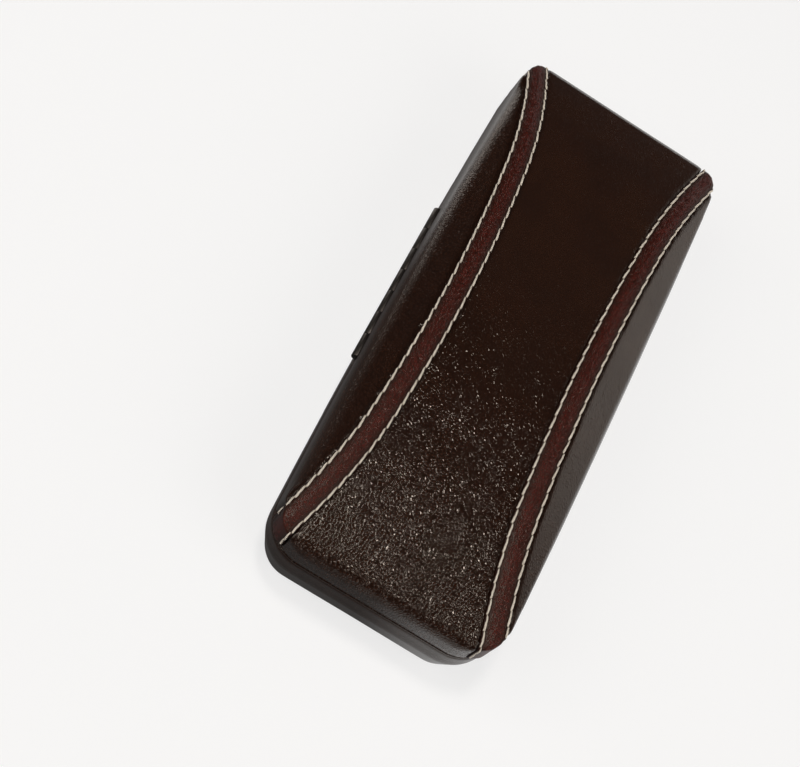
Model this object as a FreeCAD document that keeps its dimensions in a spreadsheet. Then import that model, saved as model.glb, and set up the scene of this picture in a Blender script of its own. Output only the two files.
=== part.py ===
import FreeCAD, Part
import math
import os
import re

import Sketcher

# Hard glasses case: a leather covered clamshell with an arched lid.
# Frame: X along the case, the hinge on the +Y side, the opening side at -Y, Z up.
# The origin is on the table under the middle of the case. Millimetres and degrees.

doc = FreeCAD.newDocument("glasses_case")
sheet = doc.addObject("Spreadsheet::Sheet", "Sizes")

# Driving sizes
SIZES = [
    # plan of the case over the leather
    ("case_length", 160.0),
    ("case_width", 64.0),
    ("corner_radius", 11.0),
    ("side_bow", 1.3),
    # base half, from the table up to the seam
    ("base_depth", 22.0),
    ("base_rim", 6.0),
    ("base_draft", 14.0),
    ("base_round", 7.0),
    # lid half, heights above the seam
    ("lid_end_rise", 8.2),
    ("lid_arch_rise", 5.9),
    ("lid_crown_rise", 0.9),
    ("end_round", 4.2),
    ("facet_start", 6.6),
    ("facet_angle", 29.5),
    ("rim_hollow_round", 0.2),
    # layers from the outside in
    ("skin", 1.1),
    ("steel", 0.5),
    ("lining", 1.4),
    ("glue", 0.1),
    ("seam_gap", 0.3),
    ("rim_fold", 1.0),
    # accent strips along the two ridges, and their lockstitch
    ("strip_width", 6.4),
    ("strip_outset", 0.3),
    ("strip_proud", 0.35),
    ("stitch_inset", 0.45),
    ("stitch_pitch", 3.85),
    ("stitch_span", 3.1),
    ("thread_size", 0.7),
    # hinge
    ("knuckle_count", 7),
    ("knuckle_length", 7.0),
    ("knuckle_gap", 0.2),
    ("barrel_size", 2.4),
    ("pin_size", 1.2),
    ("pin_clearance", 0.03),
    ("leaf_thick", 0.5),
    ("leaf_rise", 5.4),
    ("leaf_lift", 0.2),
    ("barrel_clearance", 0.4),
    ("rivet_size", 2.0),
    ("rivet_spacing", 18.0),
    ("rivet_rise", 3.6),
    ("fit_clearance", 0.02),
    # flat spring that bears on the middle knuckle
    ("spring_thick", 0.3),
    ("spring_width", 10.0),
    ("tongue_width", 6.0),
]

# Sizes that follow from the driving ones
FOLLOWING = [
    ("half_length", "case_length / 2"),
    ("half_width", "case_width / 2"),
    ("side_arc", "(half_length ^ 2 + side_bow ^ 2) / (2 * side_bow)"),
    ("side_centre", "side_arc - half_width"),
    ("arch_top", "base_depth + lid_end_rise + lid_arch_rise"),
    # the arch from the front: a flat crown over half the length, then a rounder arc each side
    ("crown_half", "half_length / 2"),
    ("outer_run", "half_length - crown_half"),
    ("outer_rise", "lid_arch_rise - lid_crown_rise"),
    ("crown_arc", "(crown_half ^ 2 + lid_crown_rise ^ 2) / (2 * lid_crown_rise)"),
    ("crown_sin", "crown_half / crown_arc"),
    ("crown_cos", "1 - lid_crown_rise / crown_arc"),
    ("outer_arc", "(outer_run ^ 2 + outer_rise ^ 2) / (2 * (outer_rise * crown_cos - outer_run * crown_sin))"),
    ("crown_centre", "arch_top - crown_arc"),
    ("outer_centre_x", "(crown_arc - outer_arc) * crown_sin"),
    ("outer_centre_z", "crown_centre + (crown_arc - outer_arc) * crown_cos"),
    ("lid_bottom", "base_depth + seam_gap / 2"),
    ("lid_wall_bottom", "lid_bottom + rim_fold"),
    ("base_top", "base_depth - seam_gap / 2"),
    ("base_wall_top", "base_top - rim_fold"),
    ("base_taper_top", "base_wall_top - base_rim"),
    ("facet_base", "base_depth + facet_start"),
    ("facet_top", "arch_top + 4"),
    ("profile_bottom", "base_depth - 5"),
    ("steel_out", "skin + glue"),
    ("steel_in", "steel_out + steel"),
    ("lining_out", "steel_in + glue"),
    ("wall", "lining_out + lining"),
    ("rim_round", "wall + rim_hollow_round"),
    ("proud", "-strip_proud"),
    ("none", "0"),
    # the ridge where a facet meets the arch, in plan: bent like the arch
    ("rim_edge", "lid_end_rise - facet_start - rim_round * tan((90 - facet_angle) / 2)"),
    ("ridge_end", "half_width - rim_edge / tan(facet_angle)"),
    ("ridge_bend", "lid_arch_rise / tan(facet_angle)"),
    ("ridge_mid", "ridge_end - ridge_bend"),
    ("ridge_crown_bend", "lid_crown_rise / tan(facet_angle)"),
    ("ridge_outer_bend", "ridge_bend - ridge_crown_bend"),
    ("ridge_crown", "(crown_half ^ 2 + ridge_crown_bend ^ 2) / (2 * ridge_crown_bend)"),
    ("ridge_sin", "crown_half / ridge_crown"),
    ("ridge_cos", "1 - ridge_crown_bend / ridge_crown"),
    ("ridge_outer",
     "(outer_run ^ 2 + ridge_outer_bend ^ 2) / (2 * (ridge_outer_bend * ridge_cos - outer_run * ridge_sin))"),
    ("ridge_centre", "ridge_mid + ridge_crown"),
    ("ridge_outer_x", "(ridge_crown - ridge_outer) * ridge_sin"),
    ("ridge_outer_y", "ridge_centre - (ridge_crown - ridge_outer) * ridge_cos"),
    ("ridge_reach", "half_length + 5"),
    ("ridge_far", "half_width + 5"),
    # hinge
    ("barrel_radius", "barrel_size / 2"),
    ("bore_radius", "pin_size / 2 + pin_clearance"),
    ("hinge_length", "knuckle_count * (knuckle_length + knuckle_gap) - knuckle_gap"),
    ("knuckle_step", "2 * (knuckle_length + knuckle_gap)"),
    ("hinge_bow", "side_arc - sqrt(side_arc ^ 2 - (hinge_length / 2) ^ 2)"),
    ("leaf_out", "steel_in + hinge_bow + fit_clearance"),
    ("leaf_in", "leaf_out + leaf_thick"),
    ("leaf_low", "leaf_lift + leaf_thick"),
    ("leaf_reach", "barrel_radius + barrel_clearance / 2"),
    ("spring_out", "leaf_in + fit_clearance"),
    ("spring_in", "spring_out + spring_thick"),
    ("spring_low", "leaf_low + fit_clearance"),
    ("spring_base", "spring_low + spring_thick"),
    ("tongue_tip", "sqrt((barrel_radius + 2 * fit_clearance) ^ 2 - spring_low ^ 2)"),
    ("notch_rise", "barrel_radius + barrel_clearance"),
    ("notch_half", "hinge_length / 2 + barrel_clearance"),
    ("leaf_pocket", "leaf_rise + barrel_clearance"),
]
FUNCTIONS = ("sqrt", "tan", "sin", "cos")


def cells(text):
    """The same formula with each word turned into a cell of the sheet."""
    def cell(found):
        word = found.group(0)
        return word if word in FUNCTIONS else "Sizes." + word
    return re.sub(r"[a-z]\w*", cell, text)


def fill_sheet():
    rows = [(name, str(value)) for name, value in SIZES]
    rows += [(name, "=" + text) for name, text in FOLLOWING]
    for row, (name, text) in enumerate(rows, start=1):
        sheet.set(f"A{row}", name)
        sheet.set(f"B{row}", text)
        sheet.setAlias(f"B{row}", name)
    doc.recompute()


def size(text):
    """What a formula of the sheet's words gives now."""
    return float(sheet.evalExpression(cells(text)))


def bind(thing, prop, text):
    thing.setExpression(prop, cells(text))


def vec(x, y, z=0.0):
    return FreeCAD.Vector(x, y, z)


# Sketches

TURNS = {
    "XY": FreeCAD.Rotation(),
    "XZ": FreeCAD.Rotation(vec(1, 0, 0), 90),
    "YZ": FreeCAD.Rotation(vec(1, 1, 1), 120),
}


def new_sketch(name, plane, body=None):
    """A sketch on an origin plane, in a body or on its own."""
    if body is None:
        sk = doc.addObject("Sketcher::SketchObject", name)
        sk.Placement = FreeCAD.Placement(vec(0, 0, 0), TURNS[plane])
        return sk
    sk = body.newObject("Sketcher::SketchObject", name)
    planes = [o for o in body.Origin.OriginFeatures if o.Role == plane + "_Plane"]
    sk.AttachmentSupport = (planes[0], [""])
    sk.MapMode = "FlatFace"
    return sk


def rule(sk, kind, *args):
    sk.addConstraint(Sketcher.Constraint(kind, *args))


def driven(sk, name, kind, args, text):
    """A named dimension that follows a formula of the sheet."""
    index = sk.addConstraint(Sketcher.Constraint(kind, *args, size(text)))
    sk.renameConstraint(index, name)
    bind(sk, f"Constraints.{name}", text)


def line(x1, y1, x2, y2):
    return Part.LineSegment(vec(x1, y1), vec(x2, y2))


def arc(x, y, radius, start, end):
    circle = Part.Circle(vec(x, y), vec(0, 0, 1), radius)
    return Part.ArcOfCircle(circle, start, end)


def plan_sketch(name, inset, body=None):
    """Plan of the case: bowed long sides, straight ends, round corners."""
    sk = new_sketch(name, "XY", body)
    half = size(f"half_length - ({inset})")
    big = size(f"side_arc - ({inset})")
    r = size(f"corner_radius - ({inset})")
    y0 = -size("side_centre")
    cx = half - r
    cy = y0 + math.sqrt((big - r) ** 2 - cx ** 2)
    lean = math.atan2(cy - y0, cx)
    pi = math.pi
    sk.addGeometry([
        line(half, -cy, half, cy),
        arc(cx, cy, r, 0, lean),
        arc(0, y0, big, lean, pi - lean),
        arc(-cx, cy, r, pi - lean, pi),
        line(-half, cy, -half, -cy),
        arc(-cx, -cy, r, pi, pi + lean),
        arc(0, -y0, big, pi + lean, 2 * pi - lean),
        arc(cx, -cy, r, 2 * pi - lean, 2 * pi),
    ])
    for edge in range(8):
        rule(sk, "Tangent", edge, 2, (edge + 1) % 8, 1)
    rule(sk, "Vertical", 0)
    rule(sk, "Vertical", 4)
    rule(sk, "PointOnObject", 2, 3, -2)
    rule(sk, "PointOnObject", 6, 3, -2)
    for corner in (3, 5, 7):
        rule(sk, "Equal", 1, corner)
    rule(sk, "Equal", 2, 6)
    driven(sk, "corner", "Radius", (1,), f"corner_radius - ({inset})")
    driven(sk, "side", "Radius", (2,), f"side_arc - ({inset})")
    driven(sk, "right_end", "DistanceX", (-1, 1, 0, 1), f"half_length - ({inset})")
    driven(sk, "left_end", "DistanceX", (4, 1, -1, 1), f"half_length - ({inset})")
    driven(sk, "back_centre", "DistanceY", (2, 3, -1, 1), "side_centre")
    driven(sk, "front_centre", "DistanceY", (-1, 1, 6, 3), "side_centre")
    return sk


def side_sketch(name, inset):
    """Lid from the front: end walls, their bends, and the arch in three arcs."""
    sk = new_sketch(name, "XZ")
    half = size(f"half_length - ({inset})")
    crown = size(f"crown_arc - ({inset})")
    outer = size(f"outer_arc - ({inset})")
    r = size(f"end_round - ({inset})")
    low = size("profile_bottom")
    z0 = size("crown_centre")
    ox = size("outer_centre_x")
    oz = size("outer_centre_z")
    cx = half - r
    cz = oz + math.sqrt((outer - r) ** 2 - (cx - ox) ** 2)
    lean = math.atan2(cz - oz, cx - ox)
    join = math.pi / 2 - math.asin(size("crown_sin"))
    pi = math.pi
    sk.addGeometry([
        line(-half, low, half, low),
        line(half, low, half, cz),
        arc(cx, cz, r, 0, lean),
        arc(ox, oz, outer, lean, join),
        arc(0, z0, crown, join, pi - join),
        arc(-ox, oz, outer, pi - join, pi - lean),
        arc(-cx, cz, r, pi - lean, pi),
        line(-half, cz, -half, low),
    ])
    rule(sk, "Coincident", 0, 2, 1, 1)
    rule(sk, "Coincident", 7, 2, 0, 1)
    for edge in range(1, 7):
        rule(sk, "Tangent", edge, 2, edge + 1, 1)
    rule(sk, "Horizontal", 0)
    rule(sk, "Vertical", 1)
    rule(sk, "Vertical", 7)
    rule(sk, "PointOnObject", 4, 3, -2)
    rule(sk, "Equal", 2, 6)
    rule(sk, "Equal", 3, 5)
    driven(sk, "bend", "Radius", (2,), f"end_round - ({inset})")
    driven(sk, "outer", "Radius", (3,), f"outer_arc - ({inset})")
    driven(sk, "crown", "Radius", (4,), f"crown_arc - ({inset})")
    driven(sk, "crown_half", "DistanceX", (-1, 1, 4, 1), f"(crown_arc - ({inset})) * crown_sin")
    driven(sk, "right_wall", "DistanceX", (-1, 1, 1, 1), f"half_length - ({inset})")
    driven(sk, "left_wall", "DistanceX", (7, 1, -1, 1), f"half_length - ({inset})")
    driven(sk, "low", "DistanceY", (-1, 1, 0, 1), "profile_bottom")
    driven(sk, "crown_centre", "DistanceY", (4, 3, -1, 1), "-crown_centre")
    return sk


def end_sketch(name, inset):
    """Lid from the end: two long walls and the two sloping facets."""
    sk = new_sketch(name, "YZ")
    half = size(f"half_width - ({inset})")
    r = size(f"rim_round - ({inset})")
    low = size("profile_bottom")
    high = size("facet_top")
    shoulder = size("facet_base")
    slope = math.radians(size("facet_angle"))
    turn = math.pi / 2 - slope
    cy = half - r
    ey = cy + r * math.cos(turn)
    ez = shoulder + r * math.sin(turn)
    ty = ey - (high - ez) / math.tan(slope)
    sk.addGeometry([
        line(-half, low, half, low),
        line(half, low, half, shoulder),
        arc(cy, shoulder, r, 0, turn),
        line(ey, ez, ty, high),
        line(ty, high, -ty, high),
        line(-ty, high, -ey, ez),
        arc(-cy, shoulder, r, math.pi - turn, math.pi),
        line(-half, shoulder, -half, low),
    ])
    for edge, after in ((0, 1), (3, 4), (4, 5), (7, 0)):
        rule(sk, "Coincident", edge, 2, after, 1)
    for edge in (1, 2, 5, 6):
        rule(sk, "Tangent", edge, 2, edge + 1, 1)
    rule(sk, "Horizontal", 0)
    rule(sk, "Horizontal", 4)
    rule(sk, "Vertical", 1)
    rule(sk, "Vertical", 7)
    rule(sk, "Equal", 2, 6)
    driven(sk, "rim", "Radius", (2,), f"rim_round - ({inset})")
    driven(sk, "back_wall", "DistanceX", (-1, 1, 1, 1), f"half_width - ({inset})")
    driven(sk, "front_wall", "DistanceX", (7, 1, -1, 1), f"half_width - ({inset})")
    driven(sk, "low", "DistanceY", (-1, 1, 0, 1), "profile_bottom")
    driven(sk, "high", "DistanceY", (-1, 1, 4, 1), "facet_top")
    driven(sk, "back_shoulder", "DistanceY", (-1, 1, 1, 2), "facet_base")
    driven(sk, "front_shoulder", "DistanceY", (-1, 1, 7, 1), "facet_base")
    driven(sk, "back_slope", "Angle", (3,), "180 - facet_angle")
    driven(sk, "front_slope", "Angle", (5,), "180 + facet_angle")
    return sk


def ridge_sketch(name, into):
    """Plan of all that lies outside a line along the back ridge, moved in towards the middle."""
    sk = new_sketch(name, "XY")
    crown = size(f"ridge_crown + ({into})")
    outer = size(f"ridge_outer + ({into})")
    x = size("ridge_reach")
    far = size("ridge_far")
    y0 = size("ridge_centre")
    ox = size("ridge_outer_x")
    oy = size("ridge_outer_y")
    pi = math.pi
    join = math.asin(size("ridge_sin"))
    lean = math.asin((x - ox) / outer)
    y = oy - outer * math.cos(lean)
    sk.addGeometry([
        line(-x, far, -x, y),
        arc(-ox, oy, outer, 1.5 * pi - lean, 1.5 * pi - join),
        arc(0, y0, crown, 1.5 * pi - join, 1.5 * pi + join),
        arc(ox, oy, outer, 1.5 * pi + join, 1.5 * pi + lean),
        line(x, y, x, far),
        line(x, far, -x, far),
    ])
    for edge, after in ((0, 1), (3, 4), (4, 5), (5, 0)):
        rule(sk, "Coincident", edge, 2, after, 1)
    rule(sk, "Tangent", 1, 2, 2, 1)
    rule(sk, "Tangent", 2, 2, 3, 1)
    rule(sk, "Vertical", 0)
    rule(sk, "Vertical", 4)
    rule(sk, "Horizontal", 5)
    rule(sk, "PointOnObject", 2, 3, -2)
    rule(sk, "Equal", 1, 3)
    driven(sk, "crown", "Radius", (2,), f"ridge_crown + ({into})")
    driven(sk, "outer", "Radius", (1,), f"ridge_outer + ({into})")
    driven(sk, "crown_half", "DistanceX", (-1, 1, 2, 2), f"(ridge_crown + ({into})) * ridge_sin")
    driven(sk, "crown_centre", "DistanceY", (-1, 1, 2, 3), "ridge_centre")
    driven(sk, "right", "DistanceX", (-1, 1, 4, 1), "ridge_reach")
    driven(sk, "left", "DistanceX", (0, 1, -1, 1), "ridge_reach")
    driven(sk, "far", "DistanceY", (-1, 1, 4, 2), "ridge_far")
    return sk


# Solids made from the sketches

def extrude(name, sketch, direction, length, symmetric=False):
    solid = doc.addObject("Part::Extrusion", name)
    solid.Base = sketch
    solid.DirMode = "Custom"
    solid.Dir = direction
    solid.Solid = True
    solid.Symmetric = symmetric
    bind(solid, "LengthFwd", length)
    return solid


def common(name, pieces):
    solid = doc.addObject("Part::MultiCommon", name)
    solid.Shapes = pieces
    return solid


def cut(name, base, tool, label=None):
    solid = doc.addObject("Part::Cut", name)
    solid.Base = base
    solid.Tool = tool
    if label:
        solid.Label = label
    return solid


def box(name, length, width, height, x, y, z):
    solid = doc.addObject("Part::Box", name)
    for prop, text in (("Length", length), ("Width", width), ("Height", height)):
        bind(solid, prop, text)
    for axis, text in (("x", x), ("y", y), ("z", z)):
        bind(solid, f"Placement.Base.{axis}", text)
    return solid


def cylinder(name, radius, height, x, y, z, rotation=None):
    solid = doc.addObject("Part::Cylinder", name)
    bind(solid, "Radius", radius)
    bind(solid, "Height", height)
    if rotation:
        solid.Placement = FreeCAD.Placement(vec(0, 0, 0), rotation)
    for axis, text in (("x", x), ("y", y), ("z", z)):
        bind(solid, f"Placement.Base.{axis}", text)
    return solid


ALONG_X = FreeCAD.Rotation(vec(0, 1, 0), 90)
ALONG_Y = FreeCAD.Rotation(vec(1, 0, 0), -90)


def lid_form(tag, inset):
    """The lid's outer form, moved inwards by an inset, above its rim fold."""
    plan = plan_sketch(f"{tag}_plan", inset)
    bind(plan, "Placement.Base.z", "lid_wall_bottom")
    side = side_sketch(f"{tag}_side", inset)
    end = end_sketch(f"{tag}_end", inset)
    return common(tag, [
        extrude(f"{tag}_walls", plan, vec(0, 0, 1), "facet_top - lid_wall_bottom"),
        extrude(f"{tag}_arch", side, vec(0, 1, 0), "case_width + 10", True),
        extrude(f"{tag}_facets", end, vec(1, 0, 0), "case_length + 10", True),
    ])


def outside_ridge(tag, into, turn):
    """A block over the plan outside a ridge line, on the back or turned to the front."""
    block = extrude(tag, ridge_sketch(f"{tag}_plan", into), vec(0, 0, 1), "facet_top")
    block.Placement = FreeCAD.Placement(vec(0, 0, 0), FreeCAD.Rotation(vec(0, 0, 1), turn))
    return block


def base_form(tag, inset):
    """The base's outer form below its rim fold: an upright band, then drafted walls."""
    body = doc.addObject("PartDesign::Body", tag)
    band = plan_sketch(f"{tag}_band", inset, body)
    bind(band, "AttachmentOffset.Base.z", "base_wall_top")
    upper = body.newObject("PartDesign::Pad", f"{tag}_upper")
    upper.Profile = band
    upper.Reversed = True
    bind(upper, "Length", "base_rim")
    foot = plan_sketch(f"{tag}_foot", inset, body)
    bind(foot, "AttachmentOffset.Base.z", "base_taper_top")
    lower = body.newObject("PartDesign::Pad", f"{tag}_lower")
    lower.Profile = foot
    lower.Reversed = True
    bind(lower, "Length", f"base_taper_top - ({inset})")
    bind(lower, "TaperAngle", "-base_draft")
    doc.recompute()
    floor = size(inset)
    rim = []
    for number, edge in enumerate(lower.Shape.Edges, start=1):
        if edge.BoundBox.ZMax < floor + 0.01:
            rim.append(f"Edge{number}")
    turn = body.newObject("PartDesign::Fillet", f"{tag}_turn")
    turn.Base = (lower, rim)
    bind(turn, "Radius", f"base_round - ({inset})")
    body.Tip = turn
    return body


def rim_ring(tag, bottom, label, tools):
    """The leather folded over the edge of a half, less what is cut from it."""
    outer = plan_sketch(f"{tag}_outer_plan", "none")
    inner = plan_sketch(f"{tag}_inner_plan", "wall")
    bind(outer, "Placement.Base.z", bottom)
    bind(inner, "Placement.Base.z", bottom)
    ring = cut(f"{tag}_ring",
               extrude(f"{tag}_outer", outer, vec(0, 0, 1), "rim_fold"),
               extrude(f"{tag}_inner", inner, vec(0, 0, 1), "rim_fold"))
    return cut_all(tag, ring, tools, label)


def cut_all(tag, base, tools, label):
    """Take several tools from one solid, and give the result its label."""
    made = base
    for number, tool in enumerate(tools, start=1):
        made = cut(f"{tag}_less_{number}", made, tool)
    made.Label = label
    return made


# Hinge

def knuckle_outline(sk):
    """A knuckle's round and the tab that joins it to its leaf."""
    r = size("barrel_radius")
    low = size("leaf_lift")
    high = size("leaf_low")
    out = size("leaf_out")
    start = math.pi - math.asin(low / r)
    end = 3 * math.pi - math.asin(high / r)
    x1 = r * math.cos(end)
    x2 = r * math.cos(start)
    sk.addGeometry([
        arc(0, 0, r, start, end),
        line(x1, high, -out, high),
        line(-out, high, -out, low),
        line(-out, low, x2, low),
    ])
    for edge in range(4):
        rule(sk, "Coincident", edge, 2, (edge + 1) % 4, 1)
    rule(sk, "Coincident", 0, 3, -1, 1)
    rule(sk, "Horizontal", 1)
    rule(sk, "Vertical", 2)
    rule(sk, "Horizontal", 3)
    driven(sk, "round", "Radius", (0,), "barrel_radius")
    driven(sk, "tab_low", "DistanceY", (-1, 1, 3, 1), "leaf_lift")
    driven(sk, "tab_high", "DistanceY", (-1, 1, 1, 2), "leaf_low")
    driven(sk, "tab_out", "DistanceX", (2, 1, -1, 1), "leaf_out")


def corners(sk, points):
    """A closed outline through points, each given by two formulas, x then y."""
    places = [(size(x), size(y)) for x, y in points]
    count = len(places)
    edges = []
    for at in range(count):
        edges.append(line(*places[at], *places[(at + 1) % count]))
    sk.addGeometry(edges)
    for at, (x, y) in enumerate(points):
        rule(sk, "Coincident", at, 2, (at + 1) % count, 1)
        for axis, kind, text in (("x", "DistanceX", x), ("y", "DistanceY", y)):
            if size(text) < 0:
                driven(sk, f"{axis}{at}", kind, (at, 1, -1, 1), f"-({text})")
            else:
                driven(sk, f"{axis}{at}", kind, (-1, 1, at, 1), text)


def pad(body, name, sketch, length):
    feature = body.newObject("PartDesign::Pad", name)
    feature.Profile = sketch
    feature.Midplane = True
    bind(feature, "Length", length)
    body.Tip = feature
    return feature


def pocket(body, name, sketch, length):
    feature = body.newObject("PartDesign::Pocket", name)
    feature.Profile = sketch
    feature.Midplane = True
    bind(feature, "Length", length)
    body.Tip = feature
    return feature


def on_hinge_axis(thing):
    bind(thing, "Placement.Base.y", "half_width")
    bind(thing, "Placement.Base.z", "base_depth")


def hinge_leaf(tag, label, first, count, window):
    """A leaf with its knuckles, round the hinge axis, its plate going up."""
    body = doc.addObject("PartDesign::Body", tag)
    body.Label = label
    plate = new_sketch(f"{tag}_plate", "YZ", body)
    corners(plate, [
        ("-leaf_reach", "leaf_lift"), ("-leaf_in", "leaf_lift"),
        ("-leaf_in", "leaf_rise"), ("-leaf_out", "leaf_rise"),
        ("-leaf_out", "leaf_low"), ("-leaf_reach", "leaf_low"),
    ])
    pad(body, f"{tag}_bar", plate, "hinge_length")
    if window:
        slot = new_sketch(f"{tag}_slot", "XZ", body)
        half = "(tongue_width / 2 + barrel_clearance)"
        low = "(leaf_lift / 2)"
        high = "(spring_base + fit_clearance)"
        corners(slot, [
            ("-" + half, low), (half, low), (half, high), ("-" + half, high),
        ])
        pocket(body, f"{tag}_window", slot, "case_width")
    knuckle = new_sketch(f"{tag}_knuckle", "YZ", body)
    knuckle_outline(knuckle)
    bind(knuckle, "AttachmentOffset.Base.z",
         f"({first} - (knuckle_count - 1) / 2) * (knuckle_length + knuckle_gap)")
    one = pad(body, f"{tag}_one", knuckle, "knuckle_length")
    row = body.newObject("PartDesign::LinearPattern", f"{tag}_row")
    row.Originals = [one]
    row.Direction = (knuckle, ["N_Axis"])
    row.Mode = "Spacing"
    bind(row, "Offset", "knuckle_step")
    row.Occurrences = count
    body.Tip = row
    doc.recompute()
    bore = new_sketch(f"{tag}_bore", "YZ", body)
    bore.addGeometry(Part.Circle(vec(0, 0), vec(0, 0, 1), size("bore_radius")))
    rule(bore, "Coincident", 0, 3, -1, 1)
    driven(bore, "bore", "Radius", (0,), "bore_radius")
    pocket(body, f"{tag}_through", bore, "case_length")
    holes = new_sketch(f"{tag}_holes", "XZ", body)
    radius = "rivet_size / 2 + fit_clearance"
    for number, across in enumerate(("-rivet_spacing", "0", "rivet_spacing")):
        place = vec(size(across), size("rivet_rise"))
        holes.addGeometry(Part.Circle(place, vec(0, 0, 1), size(radius)))
        driven(holes, f"radius{number}", "Radius", (number,), radius)
        driven(holes, f"rise{number}", "DistanceY", (-1, 1, number, 3), "rivet_rise")
    rule(holes, "PointOnObject", 1, 3, -2)
    driven(holes, "left", "DistanceX", (0, 3, -1, 1), "rivet_spacing")
    driven(holes, "right", "DistanceX", (-1, 1, 2, 3), "rivet_spacing")
    pocket(body, f"{tag}_rivets", holes, "case_width")
    return body


def rivet(tag, label, across, height, inner):
    """A flush rivet through the steel and the leaf, its length along Y."""
    piece = cylinder(tag, "rivet_size / 2", f"{inner} - steel_out - hinge_bow",
                     across, f"half_width - {inner}", height, ALONG_Y)
    piece.Label = label
    return piece


def rivet_holes(tag, height):
    """The three holes through a half's steel, a little wider than the rivets."""
    made = []
    for number, across in enumerate(("-rivet_spacing", "0", "rivet_spacing")):
        made.append(cylinder(f"{tag}_{number}", "rivet_size / 2 + fit_clearance", "wall",
                             across, "half_width - wall", height, ALONG_Y))
    return made


def snap_spring():
    """A flat blade behind the base leaf, its tongue bearing on the middle knuckle."""
    body = doc.addObject("PartDesign::Body", "spring")
    body.Label = "snap_spring"
    tongue = new_sketch("spring_tongue", "YZ", body)
    corners(tongue, [
        ("-tongue_tip", "-spring_base"), ("-tongue_tip", "-spring_low"),
        ("-spring_in", "-spring_low"), ("-spring_in", "-spring_base"),
    ])
    pad(body, "spring_finger", tongue, "tongue_width")
    blade = new_sketch("spring_blade", "YZ", body)
    corners(blade, [
        ("-spring_out", "-spring_low"), ("-spring_in", "-spring_low"),
        ("-spring_in", "-leaf_rise"), ("-spring_out", "-leaf_rise"),
    ])
    pad(body, "spring_plate", blade, "spring_width")
    hole = new_sketch("spring_hole", "XZ", body)
    radius = "rivet_size / 2 + fit_clearance"
    hole.addGeometry(Part.Circle(vec(0, -size("rivet_rise")), vec(0, 0, 1), size(radius)))
    rule(hole, "PointOnObject", 0, 3, -2)
    driven(hole, "radius", "Radius", (0,), radius)
    driven(hole, "drop", "DistanceY", (0, 3, -1, 1), "rivet_rise")
    pocket(body, "spring_bore", hole, "case_width")
    return body


# Lockstitch

def thread(length, radius):
    """One stitch: a short rod with round ends, centred, along X."""
    half = length / 2 - radius
    pi = math.pi
    outline = Part.Wire([
        arc(-half, 0, radius, pi / 2, pi).toShape(),
        Part.makeLine(vec(-half, radius), vec(half, radius)),
        arc(half, 0, radius, 0, pi / 2).toShape(),
        Part.makeLine(vec(half + radius, 0), vec(-half - radius, 0)),
    ])
    return Part.Face(outline).revolve(vec(0, 0, 0), vec(1, 0, 0), 360)


def along_ridge(run, into):
    """Where a run from mid length leads on a line inside the ridge: x, y and the angle turned."""
    crown = size("ridge_crown") + into
    outer = size("ridge_outer") + into
    join = math.asin(size("ridge_sin"))
    past = abs(run) - crown * join
    if past <= 0:
        angle = run / crown
        return crown * math.sin(angle), size("ridge_centre") - crown * math.cos(angle), angle
    angle = join + past / outer
    x = size("ridge_outer_x") + outer * math.sin(angle)
    y = size("ridge_outer_y") - outer * math.cos(angle)
    return math.copysign(x, run), y, math.copysign(angle, run)


def over_arch(x, above):
    """Height and slope over the arch at x, some way above its surface."""
    crown = size("crown_arc") + above
    outer = size("outer_arc") + above
    if abs(x) <= crown * size("crown_sin"):
        slope = math.asin(x / crown)
        return size("crown_centre") + crown * math.cos(slope), slope
    slope = math.asin((abs(x) - size("outer_centre_x")) / outer)
    return size("outer_centre_z") + outer * math.cos(slope), math.copysign(slope, x)


def stitch_row(label, side, into):
    """Stitches along a ridge's bend; into is how far the row is inside the ridge."""
    pitch = size("stitch_pitch")
    radius = size("thread_size") / 2
    above = size("strip_proud") + radius + size("fit_clearance")
    reach = size("half_length - end_round") - size("stitch_span") / 2
    edge = size("half_width - side_bow")
    one = thread(size("stitch_span"), radius)
    most = int(size("half_length") / pitch) + 1
    stitches = []
    for number in range(-most, most + 1):
        x, y, angle = along_ridge(number * pitch, into)
        if abs(x) > reach or y > edge - radius:
            continue
        z, slope = over_arch(x, above)
        turn = FreeCAD.Rotation(vec(0, 0, 1), side * math.degrees(angle))
        lean = FreeCAD.Rotation(vec(0, 1, 0), math.degrees(slope))
        piece = one.copy()
        piece.Placement = FreeCAD.Placement(vec(x, side * y, z), lean.multiply(turn))
        stitches.append(piece)
    row = doc.addObject("Part::Feature", label)
    row.Label = label
    row.Shape = Part.makeCompound(stitches)
    return row


# The case

fill_sheet()

# What is cut for the hinge: the gap round the barrel, and the pockets in the lining
notch = box("barrel_notch", "2 * notch_half", "leaf_in + fit_clearance + 5", "2 * notch_rise",
            "-notch_half", "half_width - leaf_in - fit_clearance", "base_depth - notch_rise")
leaf_space = box("leaf_space", "2 * notch_half", "leaf_in + fit_clearance", "2 * leaf_pocket",
                 "-notch_half", "half_width - leaf_in - fit_clearance", "base_depth - leaf_pocket")
spring_space = box("spring_space", "spring_width + 2 * barrel_clearance",
                   "spring_in + fit_clearance", "leaf_pocket",
                   "-spring_width / 2 - barrel_clearance",
                   "half_width - spring_in - fit_clearance", "base_depth - leaf_pocket")

# Lid: forms from the outside in, then the layers between them
lid_proud = lid_form("lid_proud", "proud")
lid_outer = lid_form("lid_outer", "none")
lid_under_skin = lid_form("lid_under_skin", "skin")
lid_over_steel = lid_form("lid_over_steel", "steel_out")
lid_under_steel = lid_form("lid_under_steel", "steel_in")
lid_over_lining = lid_form("lid_over_lining", "lining_out")
lid_hollow = lid_form("lid_hollow", "wall")

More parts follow.
